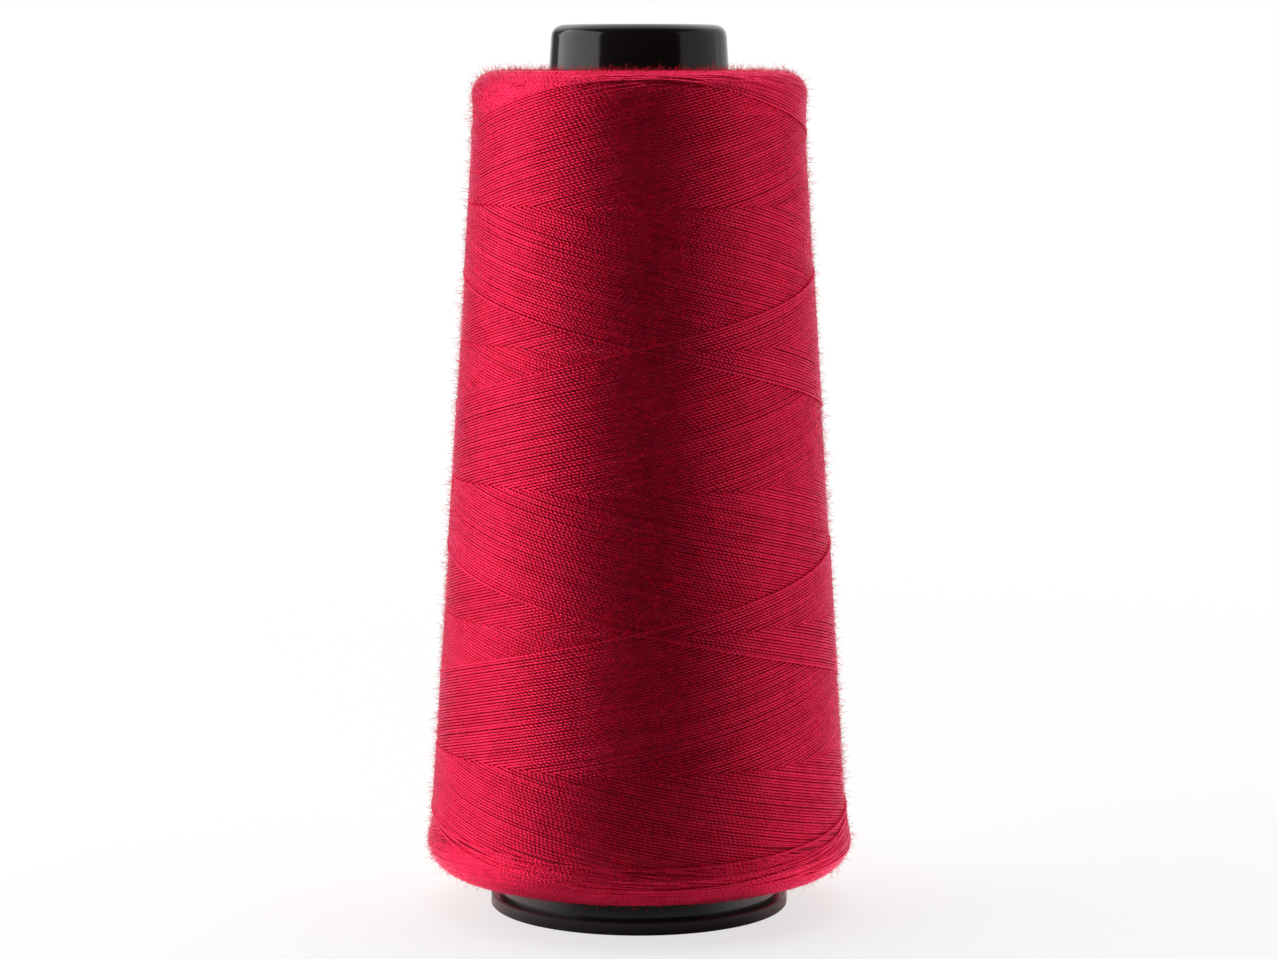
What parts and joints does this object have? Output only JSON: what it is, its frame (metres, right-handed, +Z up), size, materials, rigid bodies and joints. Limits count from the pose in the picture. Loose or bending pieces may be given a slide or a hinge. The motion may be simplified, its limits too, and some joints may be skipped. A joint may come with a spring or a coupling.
{
  "type": "spool of thread",
  "caption": "Tapered cone of sewing thread: hollow moulded cone with a rounded nose, a lift-off locking foot, and a crosswound package of thread.",
  "frame": {"origin": "centre of the foot's underside, where the cone stands", "axes": "+Z up along the cone's axis, from the foot to the nose; the cone is round, so +X and +Y have no special sense, and the two ends of the outer strand are at +Y"},
  "size_m": [0.0802, 0.0801, 0.17],
  "materials": {
    "cone_plastic": "gloss",
    "base_plastic": "gloss",
    "thread": "spun yarn"
  },
  "bodies": {
    "base": {"locking_base": "base_plastic"},
    "cone": {"cone_body": "cone_plastic", "thread_package": "thread", "outer_winding": "thread"}
  },
  "joints": [
    {"name": "base_lock", "type": "slide", "parent": "base", "child": "cone", "axis": [0, 0, 1], "range_m": [0, 0.0025]}
  ]
}
